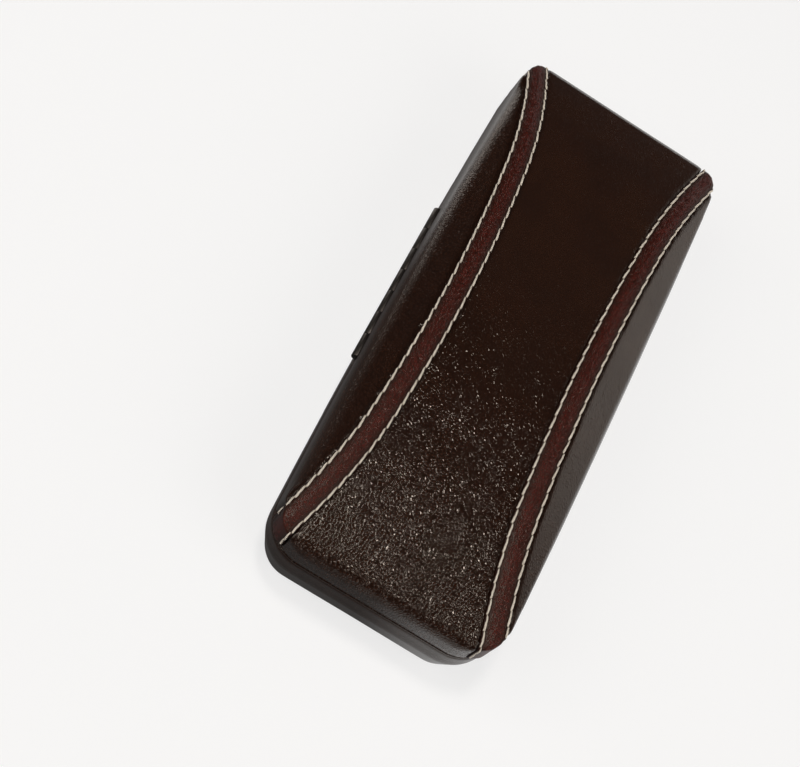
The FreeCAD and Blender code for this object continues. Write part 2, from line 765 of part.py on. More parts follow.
lid_skin = cut("lid_skin", lid_outer, lid_under_skin)
strip_skin = cut("strip_skin", lid_proud, lid_under_skin)
top_panel = lid_skin
panels = []
strips = []
for side_name, turn in (("front", 180), ("back", 0)):
    beyond = outside_ridge(f"{side_name}_beyond", "-strip_outset", turn)
    zone = outside_ridge(f"{side_name}_zone", "strip_width - strip_outset", turn)
    panels.append(common(f"{side_name}_facet", [lid_skin, beyond]))
    strips.append(cut(f"{side_name}_strip", common(f"{side_name}_band", [strip_skin, zone]), beyond,
                      f"lid_{side_name}_strip"))
    top_panel = cut(f"top_less_{side_name}", top_panel, zone)
top_panel.Label = "lid_top_panel"
panels[0].Label = "lid_front_panel"
lid_pieces = [top_panel, panels[0], cut("back_panel", panels[1], notch, "lid_back_panel")]
lid_pieces += strips
lid_pieces.append(cut_all("lid_steel", cut("lid_steel_whole", lid_over_steel, lid_under_steel),
                          [notch] + rivet_holes("lid_hole", "base_depth + rivet_rise"), "lid_shell"))
lid_pieces.append(cut_all("lid_tray", cut("lid_tray_whole", lid_over_lining, lid_hollow),
                          [leaf_space], "lid_liner"))
lid_pieces.append(rim_ring("lid_fold", "lid_bottom", "lid_rim_fold", [notch]))

# Base
base_outer = base_form("base_outer", "none")
base_under_skin = base_form("base_under_skin", "skin")
base_over_steel = base_form("base_over_steel", "steel_out")
base_under_steel = base_form("base_under_steel", "steel_in")
base_over_lining = base_form("base_over_lining", "lining_out")
base_hollow = base_form("base_hollow", "wall")
base_pieces = [
    cut_all("base_skin", cut("base_skin_whole", base_outer, base_under_skin), [notch], "base_cover"),
    cut_all("base_steel", cut("base_steel_whole", base_over_steel, base_under_steel),
            [notch] + rivet_holes("base_hole", "base_depth - rivet_rise"), "base_shell"),
    cut_all("base_tray", cut("base_tray_whole", base_over_lining, base_hollow),
            [leaf_space, spring_space], "base_liner"),
    rim_ring("base_fold", "base_wall_top", "base_rim_fold", [notch, spring_space]),
]

# Hinge
knuckles = int(size("knuckle_count"))
lid_leaf = hinge_leaf("upper_leaf", "hinge_leaf_lid", 1, knuckles // 2, False)
base_leaf = hinge_leaf("lower_leaf", "hinge_leaf_base", 0, knuckles // 2 + 1, True)
base_leaf.Placement = FreeCAD.Placement(vec(0, 0, 0), FreeCAD.Rotation(vec(0, 1, 0), 180))
spring = snap_spring()
for piece in (lid_leaf, base_leaf, spring):
    on_hinge_axis(piece)
pin = cylinder("pin", "pin_size / 2", "hinge_length", "-hinge_length / 2", "half_width",
               "base_depth", ALONG_X)
pin.Label = "hinge_pin"
lid_pieces.append(lid_leaf)
base_pieces += [base_leaf, spring, pin]
for number, across in enumerate(("-rivet_spacing", "0", "rivet_spacing"), start=1):
    lid_pieces.append(rivet(f"upper_rivet_{number}", f"hinge_rivet_lid_{number}", across,
                            "base_depth + rivet_rise", "leaf_in"))
    inner = "spring_in" if number == 2 else "leaf_in"
    base_pieces.append(rivet(f"lower_rivet_{number}", f"hinge_rivet_base_{number}", across,
                             "base_depth - rivet_rise", inner))
doc.recompute()

# Stitching: two rows on each strip
for side_name, side in (("front", -1), ("back", 1)):
    outer_row = size("stitch_inset - strip_outset")
    inner_row = size("strip_width - strip_outset - stitch_inset")
    lid_pieces.append(stitch_row(f"stitches_{side_name}_outer", side, outer_row))
    lid_pieces.append(stitch_row(f"stitches_{side_name}_inner", side, inner_row))
doc.recompute()

# Nothing is written unless every object and every solid is sound
for thing in doc.Objects:
    faults = [word for word in thing.State if word in ("Invalid", "Error")]
    if faults:
        raise RuntimeError(f"{thing.Name} ({thing.Label}) is {faults}")
pieces = lid_pieces + base_pieces
for piece in pieces:
    if piece.Shape.isNull() or not piece.Shape.isValid() or not piece.Shape.Solids:
        raise RuntimeError(f"{piece.Label} has no sound solid")

os.makedirs("parts", exist_ok=True)
for piece in pieces:
    piece.Shape.exportStep(os.path.join("parts", piece.Label + ".step"))
    box_ = piece.Shape.BoundBox
    print(f"{piece.Label}: {len(piece.Shape.Solids)} solids, {piece.Shape.Volume:.1f} mm3,"
          f" {box_.XLength:.1f} x {box_.YLength:.1f} x {box_.ZLength:.1f},"
          f" z {box_.ZMin:.2f} to {box_.ZMax:.2f}")
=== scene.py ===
"""Looks of a hard glasses case: leather, stitching, lining and hinge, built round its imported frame."""

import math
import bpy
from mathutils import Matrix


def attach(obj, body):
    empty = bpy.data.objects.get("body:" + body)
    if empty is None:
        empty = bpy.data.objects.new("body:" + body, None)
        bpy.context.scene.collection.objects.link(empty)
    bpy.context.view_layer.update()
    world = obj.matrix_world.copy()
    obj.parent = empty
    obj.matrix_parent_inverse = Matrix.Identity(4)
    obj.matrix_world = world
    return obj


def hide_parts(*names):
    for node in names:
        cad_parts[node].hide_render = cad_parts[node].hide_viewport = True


bl_info = {
    "name": "Hard Glasses Case",
    "version": (1, 0, 0),
    "blender": (4, 5, 0),
    "location": "3D View > Sidebar > Glasses Case",
    "description": "Builds the leather, stitching, lining and hinge of a hard glasses case round its frame",
    "category": "Add Mesh",
}

import bpy
import numpy as np
from bpy.props import FloatProperty, FloatVectorProperty, PointerProperty
from bpy.types import Operator, Panel, PropertyGroup
from mathutils import Vector
from mathutils.bvhtree import BVHTree

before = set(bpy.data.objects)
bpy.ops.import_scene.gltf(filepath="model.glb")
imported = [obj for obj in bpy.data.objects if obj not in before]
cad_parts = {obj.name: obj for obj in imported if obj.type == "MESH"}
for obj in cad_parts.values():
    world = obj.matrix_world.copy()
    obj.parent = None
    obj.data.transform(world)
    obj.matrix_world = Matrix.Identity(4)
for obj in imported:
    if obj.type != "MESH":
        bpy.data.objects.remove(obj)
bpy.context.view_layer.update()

MM = 0.001

# The lid's arch and ridges, in millimetres, as the frame has them
HALF_LENGTH = 80.0
CROWN_HALF = 40.0
ARCH_TOP = 36.1
ARCH_RISE = 5.9
CROWN_RISE = 0.9
FACET_SLOPE = math.radians(29.5)
RIDGE_MID = 22.2484
STRIP_OUTER = -0.3
STRIP_INNER = 6.1
ROW_OUTER = 0.15
ROW_INNER = 5.65
SEAM = 22.0
HALF_WIDTH = 32.0
SIDE_BOW = 1.3
SHOULDER = 3.8


class GlassesCaseSizes(PropertyGroup):
    """Sizes that a user would change"""

    grain_size: FloatProperty(
        name="Grain size", description="Width of one pebble of the leather's grain",
        default=0.00072, min=0.0003, max=0.003, subtype="DISTANCE", unit="LENGTH")
    grain_depth: FloatProperty(
        name="Grain depth", description="Height of the leather's grain",
        default=0.000115, min=0.0, max=0.0005, subtype="DISTANCE", unit="LENGTH")
    crown: FloatProperty(
        name="Strip crown", description="How far the middle of an accent strip stands above its seams",
        default=0.00032, min=0.0, max=0.002, subtype="DISTANCE", unit="LENGTH")
    pucker: FloatProperty(
        name="Pucker", description="How deep the thread pulls the leather in at its holes",
        default=0.00024, min=0.0, max=0.001, subtype="DISTANCE", unit="LENGTH")
    pitch: FloatProperty(
        name="Stitch pitch", description="Distance from one stitch to the next",
        default=0.00385, min=0.002, max=0.008, subtype="DISTANCE", unit="LENGTH")
    thread: FloatProperty(
        name="Thread", description="Width of the thread",
        default=0.00045, min=0.0002, max=0.0015, subtype="DISTANCE", unit="LENGTH")
    metal_edge: FloatProperty(
        name="Metal edge", description="Width of the broken edge on the hinge's pieces",
        default=0.00007, min=0.0, max=0.0003, subtype="DISTANCE", unit="LENGTH")


def colour(name, what, value):
    """A colour setting."""
    return FloatVectorProperty(name=name, description=what, subtype="COLOR", size=3,
                               min=0.0, max=1.0, default=value)


class GlassesCaseColours(PropertyGroup):
    """Colours that a user would change, as linear values"""

    leather: colour("Leather", "Main leather", (0.0250, 0.0088, 0.0044))
    # Also the colour that the painted shade in creases and seams is mixed towards.
    leather_dark: colour("Leather, dark", "Main leather where the dye is deepest", (0.0175, 0.0060, 0.0032))
    strip: colour("Strip", "Accent strips", (0.083, 0.0108, 0.0072))
    # Also the colour of the painted shade on the sides of the strips' crowns, and in their creases and seams.
    strip_dark: colour("Strip, dark", "Accent strips where the dye is deepest", (0.028, 0.0072, 0.0040))
    thread: colour("Thread", "Stitching", (0.70, 0.64, 0.55))
    # The dark thread colour is painted shade between the plies.
    thread_dark: colour("Thread, dark", "Stitching between its plies", (0.33, 0.26, 0.19))
    lining: colour("Lining", "Flocked lining", (0.018, 0.0115, 0.0105))
    metal: colour("Metal", "Hinge", (0.075, 0.066, 0.06))
    floor: colour("Floor", "Floor", (0.9, 0.9, 0.9))


# Working on meshes

def only(obj):
    """Selects one object, and makes it the active one."""
    bpy.ops.object.select_all(action="DESELECT")
    bpy.context.view_layer.objects.active = obj
    obj.select_set(True)


def apply(obj, kind, **settings):
    """Adds a modifier and applies it."""
    only(obj)
    modifier = obj.modifiers.new(kind.title(), kind)
    for name, value in settings.items():
        setattr(modifier, name, value)
    bpy.ops.object.modifier_apply(modifier=modifier.name)


def node_copy(node, name):
    """A copy of a frame node's mesh as a piece of its own, its loose triangles joined."""
    obj = bpy.data.objects.new(name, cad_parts[node].data.copy())
    obj.data.name = name
    obj.data.materials.clear()
    bpy.context.scene.collection.objects.link(obj)
    only(obj)
    bpy.ops.object.mode_set(mode="EDIT")
    bpy.ops.mesh.select_all(action="SELECT")
    bpy.ops.mesh.remove_doubles(threshold=1e-6)
    bpy.ops.object.mode_set(mode="OBJECT")
    return obj


def soften(obj, voxel, rounds):
    """Even small faces all over, with every edge rounded as on leather."""
    apply(obj, "REMESH", mode="VOXEL", voxel_size=voxel, adaptivity=0.0)
    apply(obj, "SMOOTH", factor=0.5, iterations=rounds)


def points(mesh):
    found = np.empty(len(mesh.vertices) * 3)
    mesh.vertices.foreach_get("co", found)
    return found.reshape(-1, 3)


def normals(mesh):
    found = np.empty(len(mesh.vertices) * 3)
    mesh.vertex_normals.foreach_get("vector", found)
    return found.reshape(-1, 3)


def move_points(mesh, places):
    mesh.vertices.foreach_set("co", places.ravel())
    mesh.update()


def mark(mesh, name, values):
    """Stores one number for each point, for a material to read."""
    layer = mesh.attributes.new(name, "FLOAT", "POINT")
    layer.data.foreach_set("value", np.asarray(values, dtype=np.float32))


def step(value, low, high):
    """0 below low, 1 above high, smooth between."""
    t = np.clip((value - low) / (high - low), 0.0, 1.0)
    return t * t * (3.0 - 2.0 * t)


def bell(value, width):
    return np.exp(-(value / width) ** 2)


# The lid's form, in millimetres

def arcs(rise, crown):
    """Radii and join of the flat crown and the rounder arc beyond it."""
    radius = (CROWN_HALF ** 2 + crown ** 2) / (2 * crown)
    sine = CROWN_HALF / radius
    cosine = 1 - crown / radius
    run = HALF_LENGTH - CROWN_HALF
    fall = rise - crown
    outer = (run ** 2 + fall ** 2) / (2 * (fall * cosine - run * sine))
    return radius, outer, sine, cosine


def bent(x, rise, crown):
    """How far the bend has fallen away at x from mid length, and its slope there."""
    radius, outer, sine, cosine = arcs(rise, crown)
    x = np.abs(x)
    centre_x = (radius - outer) * sine
    centre_z = -radius + (radius - outer) * cosine
    inner_root = np.sqrt(np.maximum(radius ** 2 - x ** 2, 1e-9))
    outer_root = np.sqrt(np.maximum(outer ** 2 - (x - centre_x) ** 2, 1e-9))
    near = x <= CROWN_HALF
    fall = np.where(near, radius - inner_root, -centre_z - outer_root)
    slope = np.where(near, x / inner_root, (x - centre_x) / outer_root)
    return fall, slope


def arch_height(x):
    return ARCH_TOP - bent(x, ARCH_RISE, CROWN_RISE)[0]


def inside_ridge(x, y):
    """How far a place is inside the ridge, towards the middle of the lid, in plan."""
    radius, outer, sine, cosine = arcs(ARCH_RISE / math.tan(FACET_SLOPE), CROWN_RISE / math.tan(FACET_SLOPE))
    x = np.abs(x)
    crown = np.hypot(x, RIDGE_MID + radius - np.abs(y)) - radius
    centre_x = (radius - outer) * sine
    centre_y = RIDGE_MID + radius - (radius - outer) * cosine
    beyond = np.hypot(x - centre_x, centre_y - np.abs(y)) - outer
    return np.where(x <= CROWN_HALF, crown, beyond)


def row_plan(side, into):
    """Plan of a line inside a ridge: x, y and the run from mid length, finely spaced."""
    x = np.linspace(-82.0, 82.0, 1641)
    fall, slope = bent(x, ARCH_RISE / math.tan(FACET_SLOPE), CROWN_RISE / math.tan(FACET_SLOPE))
    slope = slope * np.sign(x)
    length = np.sqrt(1 + slope ** 2)
    px = x + into * slope / length
    py = RIDGE_MID + fall - into / length
    run = np.concatenate([[0], np.cumsum(np.hypot(np.diff(px), np.diff(py)))])
    run -= np.interp(0.0, px, run)
    return px, side * py, run


def facing_out(places, turned):
    """How much each point faces out of the lid, from 0 to 1."""
    core = np.stack([np.clip(places[:, 0], -66, 66), np.clip(places[:, 1], -12, 12),
                     np.full(len(places), 18.0)], axis=1)
    away = places - core
    away /= np.linalg.norm(away, axis=1)[:, None]
    return step((away * turned).sum(axis=1), 0.25, 0.65)


def true_arch(places, turned):
    """Takes the flats of the frame's mesh out of the arch."""
    off = places[:, 2] - arch_height(places[:, 0])
    keep = 1.0 - step(np.abs(off), 0.05, 0.14)
    up = step(turned[:, 2], 0.85, 0.95)
    places[:, 2] -= off * keep * up


def round_shoulder(places, turned, out):
    """Rounds the edge between a facet and the wall below it more fully."""
    x, y = places[:, 0], np.abs(places[:, 1])
    bow = (HALF_LENGTH ** 2 + SIDE_BOW ** 2) / (2 * SIDE_BOW)
    wall = np.sqrt(bow ** 2 - np.minimum(np.abs(x), HALF_LENGTH) ** 2) - (bow - HALF_WIDTH) - y
    rise = ARCH_TOP - (y - RIDGE_MID) * math.tan(FACET_SLOPE) - places[:, 2]
    facet = rise * math.cos(FACET_SLOPE)
    near = np.maximum(SHOULDER - np.abs(wall - facet), 0) / SHOULDER
    inward = np.maximum(near ** 2 * SHOULDER / 4 - np.minimum(wall, facet), 0)
    inward *= step(out, 0.3, 0.9) * (1 - step(np.abs(x), 64, 71)) * step(y, 15, 20)
    places -= turned * inward[:, None]


def turn_over_rim(places, turned):
    """Carries the wall's leather down over the outside of the rim fold, clear of the hinge."""
    hinge = (1 - step(np.abs(places[:, 0]), 31, 33)) * step(places[:, 1], 26, 28)
    low = (1 - step(places[:, 2], 23.2, 26.5)) * (1 - hinge)
    places[:, 2] -= 0.72 * low
    places[:, :2] += turned[:, :2] * (0.10 * low)[:, None]


def waves(places, scale, seed):
    """Slow uneven swell of leather over board, from -1 to 1."""
    rng = np.random.default_rng(seed)
    total = np.zeros(len(places))
    for _ in range(7):
        axis = rng.normal(size=3)
        axis *= 2 * math.pi / (scale * rng.uniform(0.6, 1.7) * np.linalg.norm(axis))
        total += np.sin(places @ axis + rng.uniform(0, 2 * math.pi))
    return total / 4.0


# Shading

def new_group(name, inputs, outputs):
    """A shader node group with named sockets, and its input and output nodes."""
    group = bpy.data.node_groups.new(name, "ShaderNodeTree")
    for label, kind, value in inputs:
        socket = group.interface.new_socket(label, in_out="INPUT", socket_type=kind)
        if value is not None:
            socket.default_value = value
    for label, kind in outputs:
        group.interface.new_socket(label, in_out="OUTPUT", socket_type=kind)
    return group, group.nodes.new("NodeGroupInput"), group.nodes.new("NodeGroupOutput")


def node(tree, kind, links=(), **settings):
    """A node with settings by name, and links or values for its inputs."""
    made = tree.nodes.new(kind)
    for name, value in settings.items():
        setattr(made, name, value)
    for socket, source in dict(links).items():
        if isinstance(source, bpy.types.NodeSocket):
            tree.links.new(source, made.inputs[socket])
        else:
            made.inputs[socket].default_value = source
    return made


def maths(tree, operation, *values):
    made = tree.nodes.new("ShaderNodeMath")
    made.operation = operation
    for index, value in enumerate(values):
        if isinstance(value, bpy.types.NodeSocket):
            tree.links.new(value, made.inputs[index])
        else:
            made.inputs[index].default_value = value
    return made.outputs[0]


def mix_colour(tree, amount, first, second, blend="MIX"):
    made = tree.nodes.new("ShaderNodeMix")
    made.data_type = "RGBA"
    made.blend_type = blend
    for index, value in ((0, amount), (6, first), (7, second)):
        if isinstance(value, bpy.types.NodeSocket):
            tree.links.new(value, made.inputs[index])
        else:
            made.inputs[index].default_value = value
    return made.outputs[2]


def pebble_group():
    """Grain of pressed leather: rounded pebbles with creases between them."""
    group, entry, result = new_group(
        "Pebbled Grain",
        [("Vector", "NodeSocketVector", None), ("Pebble", "NodeSocketFloat", 0.00085),
         ("Unevenness", "NodeSocketFloat", 0.35)],
        [("Height", "NodeSocketFloat"), ("Crease", "NodeSocketFloat")])
    per_metre = maths(group, "DIVIDE", 1.0, entry.outputs["Pebble"])
    scaled = node(group, "ShaderNodeVectorMath",
                  {0: entry.outputs["Vector"], "Scale": per_metre}, operation="SCALE").outputs[0]
    drift = node(group, "ShaderNodeTexNoise", {"Vector": scaled, "Scale": 0.7, "Detail": 2.0})
    pushed = node(group, "ShaderNodeVectorMath",
                  {0: drift.outputs["Color"], "Scale": entry.outputs["Unevenness"]}, operation="SCALE")
    place = node(group, "ShaderNodeVectorMath", {0: scaled, 1: pushed.outputs[0]}).outputs[0]
    cells = node(group, "ShaderNodeTexVoronoi", {"Vector": place, "Scale": 1.0}, feature="DISTANCE_TO_EDGE")
    round_top = node(group, "ShaderNodeMapRange",
                     {"Value": cells.outputs["Distance"], "From Min": 0.0, "From Max": 0.44},
                     interpolation_type="SMOOTHSTEP").outputs["Result"]
    tall = node(group, "ShaderNodeTexVoronoi", {"Vector": place, "Scale": 1.0}, feature="F1")
    level = node(group, "ShaderNodeSeparateColor", {"Color": tall.outputs["Color"]}).outputs[0]
    fine = node(group, "ShaderNodeTexNoise", {"Vector": scaled, "Scale": 2.7, "Detail": 2.0}).outputs["Fac"]
    body = maths(group, "MULTIPLY", round_top, maths(group, "MULTIPLY_ADD", level, 0.45, 0.55))
    height = maths(group, "MULTIPLY_ADD", fine, 0.25, body)
    group.links.new(height, result.inputs["Height"])
    crease = node(group, "ShaderNodeMapRange",
                  {"Value": cells.outputs["Distance"], "From Min": 0.22, "From Max": 0.0},
                  interpolation_type="SMOOTHSTEP").outputs["Result"]
    group.links.new(crease, result.inputs["Crease"])
    return group


def tone_group():
    """Two tones of one finish, laid unevenly."""
    group, entry, result = new_group(
        "Uneven Tone",
        [("Vector", "NodeSocketVector", None), ("Light", "NodeSocketColor", None),
         ("Dark", "NodeSocketColor", None), ("Patch", "NodeSocketFloat", 90.0)],
        [("Color", "NodeSocketColor"), ("Mask", "NodeSocketFloat")])
    noise = node(group, "ShaderNodeTexNoise",
                 {"Vector": entry.outputs["Vector"], "Scale": entry.outputs["Patch"], "Detail": 6.0,
                  "Roughness": 0.6})
    spread = node(group, "ShaderNodeMapRange",
                  {"Value": noise.outputs["Fac"], "From Min": 0.3, "From Max": 0.7},
                  interpolation_type="SMOOTHSTEP").outputs["Result"]
    group.links.new(mix_colour(group, spread, entry.outputs["Light"], entry.outputs["Dark"]),
                    result.inputs["Color"])
    group.links.new(spread, result.inputs["Mask"])
    return group


def shared_group(name, make):
    return bpy.data.node_groups.get(name) or make()


def new_material(name):
    """An empty node material with a principled shader and its output."""
    material = bpy.data.materials.new(name)
    material.use_nodes = True
    tree = material.node_tree
    tree.nodes.clear()
    shader = tree.nodes.new("ShaderNodeBsdfPrincipled")
    output = tree.nodes.new("ShaderNodeOutputMaterial")
    tree.links.new(shader.outputs[0], output.inputs["Surface"])
    return material, tree, shader


def rgba(value):
    return (*value, 1.0)


def leather_material(name, light, dark, pebble, depth, rough, spread, crown_shade_and_glints=False):
    """Dyed leather with a pressed grain, with painted shade in its creases and, along its seams, a darkening that is
    partly dirt and partly painted shade.
    """
    found = bpy.data.materials.get(name)
    if found:
        return found
    material, tree, shader = new_material(name)
    where = node(tree, "ShaderNodeTexCoord").outputs["Object"]
    grain = node(tree, "ShaderNodeGroup", node_tree=shared_group("Pebbled Grain", pebble_group))
    tree.links.new(where, grain.inputs["Vector"])
    grain.inputs["Pebble"].default_value = pebble
    tone = node(tree, "ShaderNodeGroup", node_tree=shared_group("Uneven Tone", tone_group))
    tree.links.new(where, tone.inputs["Vector"])
    tone.inputs["Light"].default_value = rgba(light)
    tone.inputs["Dark"].default_value = rgba(dark)
    tone.inputs["Patch"].default_value = spread
    toned = tone.outputs["Color"]
    # On the strips, the crown keeps the strip colour and its sides go towards the dark dye: partly the strip's own
    # colour, partly painted shade.
    if crown_shade_and_glints:
        crown_colour_and_shade = node(tree, "ShaderNodeAttribute", attribute_name="crown_colour_and_shade").outputs["Fac"]
        toned = mix_colour(tree, crown_colour_and_shade, rgba(dark), toned)
        # Painted glints: lighter red specks on the crown.
        speck = node(tree, "ShaderNodeTexNoise", {"Vector": where, "Scale": 2600.0, "Detail": 2.0}).outputs["Fac"]
        speck = node(tree, "ShaderNodeMapRange", {"Value": speck, "From Min": 0.52, "From Max": 0.72}).outputs["Result"]
        toned = mix_colour(tree, maths(tree, "MULTIPLY", speck, crown_colour_and_shade), toned,
                           rgba(tuple(1.9 * c for c in light)))
        shader.inputs["Specular IOR Level"].default_value = 0.27
    # Darker along the seams and at the stitch holes: partly dirt in the seams, partly painted shade.
    seam_dirt_and_shade = node(tree, "ShaderNodeAttribute", attribute_name="seam_dirt_and_shade").outputs["Fac"]
    pressed = node(tree, "ShaderNodeAttribute", attribute_name="grain").outputs["Fac"]
    # Painted shade in the grain's creases, weaker where the grain is shallower.
    painted_crease_shade = maths(tree, "MULTIPLY", grain.outputs["Crease"], maths(tree, "MULTIPLY", pressed, 0.85))
    shade = maths(tree, "MULTIPLY_ADD", seam_dirt_and_shade, 0.75, painted_crease_shade)
    # The painted shade mixes the colour towards 0.45 of the dark dye.
    base = mix_colour(tree, maths(tree, "MINIMUM", shade, 1.0), toned,
                      rgba(tuple(0.45 * c for c in dark)))
    tree.links.new(base, shader.inputs["Base Color"])
    polish = maths(tree, "MULTIPLY_ADD", tone.outputs["Mask"], 0.02, rough + 0.25)
    polish = maths(tree, "MULTIPLY_ADD", pressed, -0.25, polish)
    polish = maths(tree, "MULTIPLY_ADD", grain.outputs["Crease"], 0.04, polish)
    wall = node(tree, "ShaderNodeAttribute", attribute_name="wall").outputs["Fac"]
    tree.links.new(maths(tree, "MULTIPLY_ADD", wall, 0.14, polish), shader.inputs["Roughness"])
    swell = node(tree, "ShaderNodeTexNoise", {"Vector": where, "Scale": 210.0, "Detail": 3.0}).outputs["Fac"]
    height = maths(tree, "MULTIPLY_ADD", grain.outputs["Height"], depth,
                   maths(tree, "MULTIPLY", swell, 0.8 * depth))
    height = maths(tree, "MULTIPLY", height, pressed)
    bump = node(tree, "ShaderNodeBump", {"Height": height, "Distance": 1.0, "Strength": 1.0})
    tree.links.new(bump.outputs["Normal"], shader.inputs["Normal"])
    shader.inputs["IOR"].default_value = 1.45
    shader.inputs["Specular Tint"].default_value = (1.0, 0.92, 0.82, 1.0)
    return material


def main_leather(smooth=True):
    """The main leather: grained on the top panel, pressed smoother round the sides."""
    sizes = bpy.context.scene.glasses_case_sizes
    colours = bpy.context.scene.glasses_case_colours
    name, depth = ("dyed_leather_smooth", 0.35) if smooth else ("dyed_leather_grained", 1.0)
    return leather_material(name, colours.leather, colours.leather_dark, sizes.grain_size,
                            depth * sizes.grain_depth, 0.19 if smooth else 0.10, 55.0)


def strip_leather():
    sizes = bpy.context.scene.glasses_case_sizes
    colours = bpy.context.scene.glasses_case_colours
    return leather_material("dyed_strip_leather", colours.strip, colours.strip_dark, 0.6 * sizes.grain_size,
                            0.7 * sizes.grain_depth, 0.26, 1500.0, crown_shade_and_glints=True)


def mark_walls(mesh):
    """Marks where leather stands upright, which wears duller than the top."""
    mark(mesh, "wall", 1 - step(np.abs(normals(mesh)[:, 2]), 0.15, 0.6))


def finish_piece(obj, material, body, slot, *nodes):
    """Gives a piece its finish and its body, and hides the nodes that it stands for."""
    obj.data.materials.clear()
    obj.data.materials.append(material)
    if slot in ("leather", "accent_leather"):
        mark_walls(obj.data)
    only(obj)
    bpy.ops.object.shade_smooth()
    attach(obj, body)
    if nodes:
        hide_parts(*nodes)


# Lid

def seam_mark(into, wide):
    """How near a point is to a row of stitches."""
    near = np.maximum(bell(into - ROW_OUTER, wide), bell(into - ROW_INNER, wide))
    return near


class GLASSESCASE_OT_lid_panels(Operator):
    """Leather of the lid: the arched top panel and the two side panels"""

    bl_idname = "glasses_case.lid_panels"
    bl_label = "Lid Panels"

    def execute(self, context):
        for node_name, voxel in (("lid_top_panel", 0.00042), ("lid_front_panel", 0.00038),
                                 ("lid_back_panel", 0.00038)):
            piece = node_copy(node_name, node_name.replace("lid_", "leather_"))
            soften(piece, voxel, 10)
            mesh = piece.data
            places = points(mesh) / MM
            turned = normals(mesh)
            true_arch(places, turned)
            out = facing_out(places, turned)
            into = inside_ridge(places[:, 0], places[:, 1])
            if node_name == "lid_back_panel":
                round_shoulder(places, turned, out)
            edge = np.minimum(np.abs(into - STRIP_INNER), np.abs(into - STRIP_OUTER))
            sink = -0.10 * bell(edge, 0.8) + 0.05 * waves(places, 26.0, 4)
            places += turned * (sink * out)[:, None]
            tuck = 0.45 * bell(edge, 0.5) * np.sign(places[:, 1]) * (1.0 if node_name == "lid_top_panel" else -1.0)
            places[:, 1] += tuck * (1 - step(np.abs(places[:, 0]), 74, 77))
            turn_over_rim(places, turned)
            move_points(mesh, places * MM)
            # Darker along the strips' edges: partly dirt, partly painted shade.
            mark(mesh, "seam_dirt_and_shade", bell(edge, 0.7) * out)
            mark(mesh, "grain", 1 - 0.66 * step(places[:, 0] + 6 * waves(places, 30.0, 3), -54, 32)
                 if node_name == "lid_top_panel" else np.ones(len(places)))
            finish_piece(piece, main_leather(node_name != "lid_top_panel"), "lid", "leather", node_name)
        return {"FINISHED"}


class GLASSESCASE_OT_strips(Operator):
    """Accent strips along the two ridges, crowned between their rows of stitches"""

    bl_idname = "glasses_case.strips"
    bl_label = "Accent Strips"

    def execute(self, context):
        sizes = context.scene.glasses_case_sizes
        pitch = sizes.pitch / MM
        for side_name, side in (("front", -1), ("back", 1)):
            node_name = f"lid_{side_name}_strip"
            piece = node_copy(node_name, f"leather_{side_name}_strip")
            soften(piece, 0.0003, 8)
            mesh = piece.data
            places = points(mesh) / MM
            turned = normals(mesh)
            out = facing_out(places, turned)
            into = inside_ridge(places[:, 0], places[:, 1])
            middle = (ROW_OUTER + ROW_INNER) / 2
            across = (into - middle) / (ROW_INNER - middle)
            crown = np.clip(1 - across ** 2, 0, 1) ** 1.4
            lift = sizes.crown / MM * crown + 0.07 * bell(into - middle - 0.1 * waves(places, 9.0, 8), 0.5)
            lift += 0.02 * waves(places, 5.0, 5) * crown - 0.12 - 0.13 * step(np.abs(places[:, 0]), 62, 76)
            px, py, run = row_plan(side, middle)
            along = np.interp(places[:, 0], px, run)
            phase = 0.5 - 0.5 * np.cos(2 * math.pi * along / pitch)
            flat = 1 - step(np.abs(places[:, 0]), 74, 77)
            near = seam_mark(into, 0.5)
            lift -= sizes.pucker / MM * near * (0.45 + 0.55 * phase * flat)
            places += turned * (lift * out)[:, None]
            turn_over_rim(places, turned)
            move_points(mesh, places * MM)
            # Darker by the rows, most at the stitch holes: partly dirt, partly painted shade.
            mark(mesh, "seam_dirt_and_shade", seam_mark(into, 0.6) * (0.55 + 0.45 * phase) * out)
            mark(mesh, "grain", np.ones(len(places)))
            # Crown mask: 1 on the crown, 0 at the rows, where the strip is darkened, partly its colour and partly
            # painted shade.
            mark(mesh, "crown_colour_and_shade", step(1 - np.abs(into - middle) / 2.6, 0.0, 0.75))
            finish_piece(piece, strip_leather(), "lid", "accent_leather", node_name)
        return {"FINISHED"}


# Stitching

def thread_stitch(width):
    """One stitch of twisted thread along X, 1 long, as its points and faces."""
    bpy.ops.object.select_all(action="DESELECT")
    bpy.ops.mesh.primitive_circle_add(vertices=6, radius=0.36 * width, fill_type="NGON",
                                      location=(-0.5, 0, 0), rotation=(0, math.pi / 2, 0))
    obj = bpy.context.object
    bpy.ops.object.transform_apply(location=True, rotation=True, scale=True)
    lobes = points(obj.data)
    lobes[::2, 1:] *= 1.32
    move_points(obj.data, lobes)
    bpy.ops.object.mode_set(mode="EDIT")
    bpy.ops.mesh.select_all(action="SELECT")
    at = -0.5
    for advance, grow in ((0.05, 1.28), (0.15, 1.08), (0.15, 1.0), (0.15, 0.99), (0.15, 0.98),
                          (0.15, 0.97), (0.15, 0.92), (0.05, 0.76)):
        at += advance
        bpy.ops.mesh.extrude_region_move(TRANSFORM_OT_translate={"value": (advance, 0, 0)})
        bpy.ops.transform.rotate(value=math.radians(170 * advance / 0.15 * 0.28), orient_axis="X",
                                 center_override=(at, 0, 0))
        bpy.ops.transform.resize(value=(1, grow, grow), center_override=(at, 0, 0))
    bpy.ops.mesh.select_all(action="SELECT")
    bpy.ops.mesh.normals_make_consistent(inside=False)
    bpy.ops.object.mode_set(mode="OBJECT")
    places = points(obj.data)
    faces = [tuple(face.vertices) for face in obj.data.polygons]
    bpy.data.objects.remove(obj, do_unlink=True)
    return places, faces


